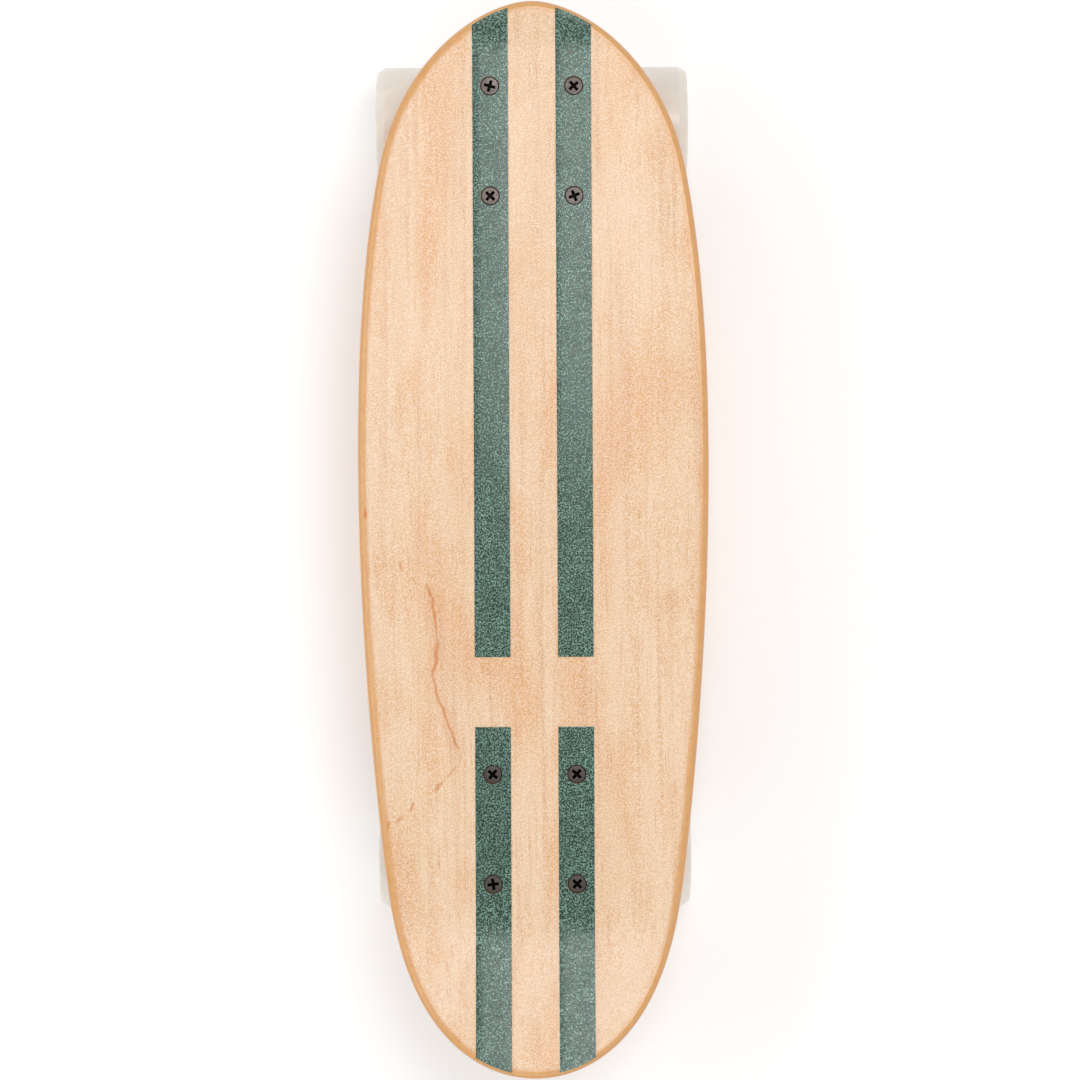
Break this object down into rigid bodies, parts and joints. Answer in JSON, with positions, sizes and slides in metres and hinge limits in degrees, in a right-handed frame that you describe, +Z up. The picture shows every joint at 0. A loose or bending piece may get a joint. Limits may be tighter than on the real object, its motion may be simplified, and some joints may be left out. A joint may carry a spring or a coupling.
{
  "type": "skateboard",
  "caption": "Small wooden cruiser skateboard with a kicked tail, grip strips over the deck bolts, and sprung steering trucks with wide soft wheels.",
  "frame": {"origin": "on the floor under the middle of the deck's length and width", "axes": "+Y towards the nose, +Z up, +X to the rider's right when facing the nose"},
  "size_m": [0.1726, 0.5276, 0.1088],
  "materials": {
    "maple": "clear satin lacquer over straight-grained maple veneer",
    "grip": "fine-grained matt grip coating",
    "wheel": "satin cast urethane",
    "cast_alloy": "tumbled casting",
    "plated_steel": "zinc plated",
    "bearing_steel": "ground rings with pressed shields",
    "bolt_steel": "black oxide, worn to brown on the heads",
    "riser": "matt",
    "cup": "matt",
    "bushing": "satin urethane"
  },
  "bodies": {
    "deck": {"deck": "maple", "grip_front_left": "grip", "grip_front_right": "grip", "grip_rear_left": "grip", "grip_rear_right": "grip", "riser_front": "riser", "baseplate_front": "cast_alloy", "pivot_cup_front": "cup", "kingpin_front": "plated_steel", "kingpin_nut_front": "plated_steel", "bushing_upper_front": "bushing", "bushing_lower_front": "bushing", "cup_washer_upper_front": "plated_steel", "cup_washer_lower_front": "plated_steel", "bolt_front_outer_left": "bolt_steel", "bolt_nut_front_outer_left": "bolt_steel", "bolt_front_outer_right": "bolt_steel", "bolt_nut_front_outer_right": "bolt_steel", "bolt_front_inner_left": "bolt_steel", "bolt_nut_front_inner_left": "bolt_steel", "bolt_front_inner_right": "bolt_steel", "bolt_nut_front_inner_right": "bolt_steel", "riser_rear": "riser", "baseplate_rear": "cast_alloy", "pivot_cup_rear": "cup", "kingpin_rear": "plated_steel", "kingpin_nut_rear": "plated_steel", "bushing_upper_rear": "bushing", "bushing_lower_rear": "bushing", "cup_washer_upper_rear": "plated_steel", "cup_washer_lower_rear": "plated_steel", "bolt_rear_outer_left": "bolt_steel", "bolt_nut_rear_outer_left": "bolt_steel", "bolt_rear_outer_right": "bolt_steel", "bolt_nut_rear_outer_right": "bolt_steel", "bolt_rear_inner_left": "bolt_steel", "bolt_nut_rear_inner_left": "bolt_steel", "bolt_rear_inner_right": "bolt_steel", "bolt_nut_rear_inner_right": "bolt_steel"},
    "truck_front": {"hanger_front": "cast_alloy", "axle_front": "plated_steel", "axle_nut_front_left": "plated_steel", "axle_nut_front_right": "plated_steel"},
    "truck_rear": {"hanger_rear": "cast_alloy", "axle_rear": "plated_steel", "axle_nut_rear_left": "plated_steel", "axle_nut_rear_right": "plated_steel"},
    "wheel_front_left": {"wheel_front_left": "wheel", "bearing_front_left_inner": "bearing_steel", "bearing_front_left_outer": "bearing_steel"},
    "wheel_front_right": {"wheel_front_right": "wheel", "bearing_front_right_inner": "bearing_steel", "bearing_front_right_outer": "bearing_steel"},
    "wheel_rear_left": {"wheel_rear_left": "wheel", "bearing_rear_left_inner": "bearing_steel", "bearing_rear_left_outer": "bearing_steel"},
    "wheel_rear_right": {"wheel_rear_right": "wheel", "bearing_rear_right_inner": "bearing_steel", "bearing_rear_right_outer": "bearing_steel"}
  },
  "joints": [
    {"name": "steer_front", "type": "hinge", "parent": "deck", "child": "truck_front", "pos_m": [0, 0.228, 0.0635], "axis": [0, -0.8432, -0.5376], "range_deg": [-14, 14], "stiffness_Nm_per_rad": 60, "deforming": ["bushing_upper_front", "bushing_lower_front"]},
    {"name": "steer_rear", "type": "hinge", "parent": "deck", "child": "truck_rear", "pos_m": [0, -0.1764, 0.0635], "axis": [0, -0.8432, 0.5376], "range_deg": [-14, 14], "stiffness_Nm_per_rad": 60, "deforming": ["bushing_upper_rear", "bushing_lower_rear"]},
    {"name": "roll_front_left", "type": "hinge", "parent": "truck_front", "child": "wheel_front_left", "pos_m": [-0.0563, 0.209, 0.0295], "axis": [1, 0, 0], "continuous": true},
    {"name": "roll_front_right", "type": "hinge", "parent": "truck_front", "child": "wheel_front_right", "pos_m": [0.0563, 0.209, 0.0295], "axis": [1, 0, 0], "continuous": true},
    {"name": "roll_rear_left", "type": "hinge", "parent": "truck_rear", "child": "wheel_rear_left", "pos_m": [-0.0563, -0.1574, 0.0295], "axis": [1, 0, 0], "continuous": true},
    {"name": "roll_rear_right", "type": "hinge", "parent": "truck_rear", "child": "wheel_rear_right", "pos_m": [0.0563, -0.1574, 0.0295], "axis": [1, 0, 0], "continuous": true}
  ]
}
